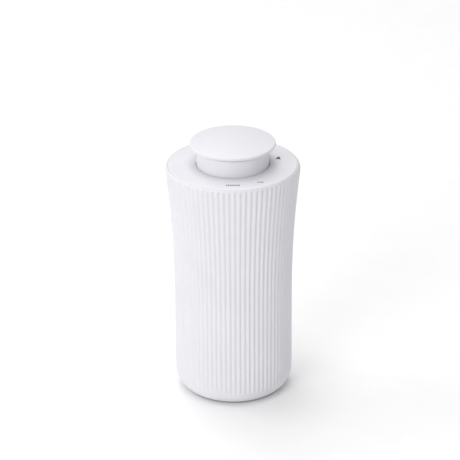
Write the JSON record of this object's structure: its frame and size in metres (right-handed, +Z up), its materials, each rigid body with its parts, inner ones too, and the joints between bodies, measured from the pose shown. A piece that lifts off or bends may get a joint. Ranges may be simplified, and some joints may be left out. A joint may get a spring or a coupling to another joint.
{
  "type": "portable air purifier",
  "caption": "Cup-shaped portable air purifier: fluted flared body, press-and-turn mushroom knob over the outlet, pull-out filter tray underneath.",
  "frame": {"origin": "centre of the footprint, on the table under the foot pads", "axes": "+Z up along the body's axis; -Y is the front, where the deck's row of dashes is; the charging port faces +Y"},
  "size_m": [0.08, 0.08, 0.1612],
  "materials": {
    "white_shell": "fine satin, moulded in colour",
    "white_deck": "fine satin",
    "dark_print": "printed ink",
    "clear_plastic": "clear light pipe, frosted end",
    "grey_trim": "fine satin",
    "plated_steel": "nickel plated",
    "white_cap": "fine satin",
    "white_neck": "fine satin",
    "screw_steel": "turned steel",
    "spring_steel": "drawn wire",
    "brass_contact": "bright",
    "black_plastic": "moulded, satin",
    "grey_plastic": "moulded, satin",
    "green_board": "solder mask",
    "blue_sleeve": "shrink sleeve",
    "red_wire": "silicone insulation",
    "black_wire": "silicone insulation",
    "copper_winding": "enamelled copper on steel",
    "dark_magnet": "bonded ferrite",
    "black_foam": "closed-cell foam",
    "white_fleece": "needled fleece",
    "filter_paper": "pleated glass-fibre paper",
    "black_carbon": "carbon granules in felt",
    "white_core": "moulded",
    "grey_mesh": "woven nylon mesh",
    "white_cover": "fine satin",
    "grey_rubber": "soft",
    "grey_rubber_feet": "soft"
  },
  "bodies": {
    "housing": {"ribbed_shell": "white_shell", "deck_plate": "white_deck", "deck_marks": "dark_print", "light_pipe": "clear_plastic", "usb_bezel": "grey_trim", "usb_port": "plated_steel", "knob_spring": "spring_steel", "encoder_body": "black_plastic", "encoder_nut": "plated_steel", "encoder_plate": "grey_plastic", "control_board": "green_board", "main_board": "green_board", "deck_screws": "screw_steel", "fan_housing": "grey_plastic", "chassis_screws": "screw_steel", "guide_vanes": "grey_plastic", "battery_tube": "grey_plastic", "battery_cell": "blue_sleeve", "battery_lead": "red_wire", "motor_lead": "black_wire", "motor_stator": "copper_winding", "motor_bearings": "screw_steel"},
    "encoder_rotor": {"encoder_rotor": "brass_contact"},
    "knob": {"knob_cap": "white_cap", "knob_neck": "white_neck", "knob_screws": "screw_steel", "encoder_shaft": "screw_steel"},
    "fan_rotor": {"motor_cup": "plated_steel", "motor_magnet": "dark_magnet", "motor_shaft": "screw_steel", "impeller": "black_plastic"},
    "filter_tray": {"bottom_cover": "white_cover", "cover_seal": "grey_rubber", "foot_pads": "grey_rubber_feet", "intake_mesh": "grey_mesh", "filter_bottom_cap": "black_plastic", "filter_core": "white_core", "filter_carbon": "black_carbon", "filter_paper": "filter_paper", "filter_wrap": "white_fleece", "filter_top_cap": "black_plastic", "filter_gasket": "black_foam"}
  },
  "joints": [
    {"name": "knob_turn", "type": "hinge", "parent": "housing", "child": "encoder_rotor", "pos_m": [0, 0, 0.142], "axis": [0, 0, 1], "continuous": true},
    {"name": "knob_press", "type": "slide", "parent": "encoder_rotor", "child": "knob", "axis": [0, 0, -1], "range_m": [0, 0.0015], "stiffness_N_per_m": 600, "springref_m": -0.002, "deforming": ["knob_spring"]},
    {"name": "impeller_spin", "type": "hinge", "parent": "housing", "child": "fan_rotor", "pos_m": [0, 0, 0.09], "axis": [0, 0, 1], "continuous": true},
    {"name": "tray_pull", "type": "slide", "parent": "housing", "child": "filter_tray", "axis": [0, 0, -1], "range_m": [0, 0.1]}
  ]
}
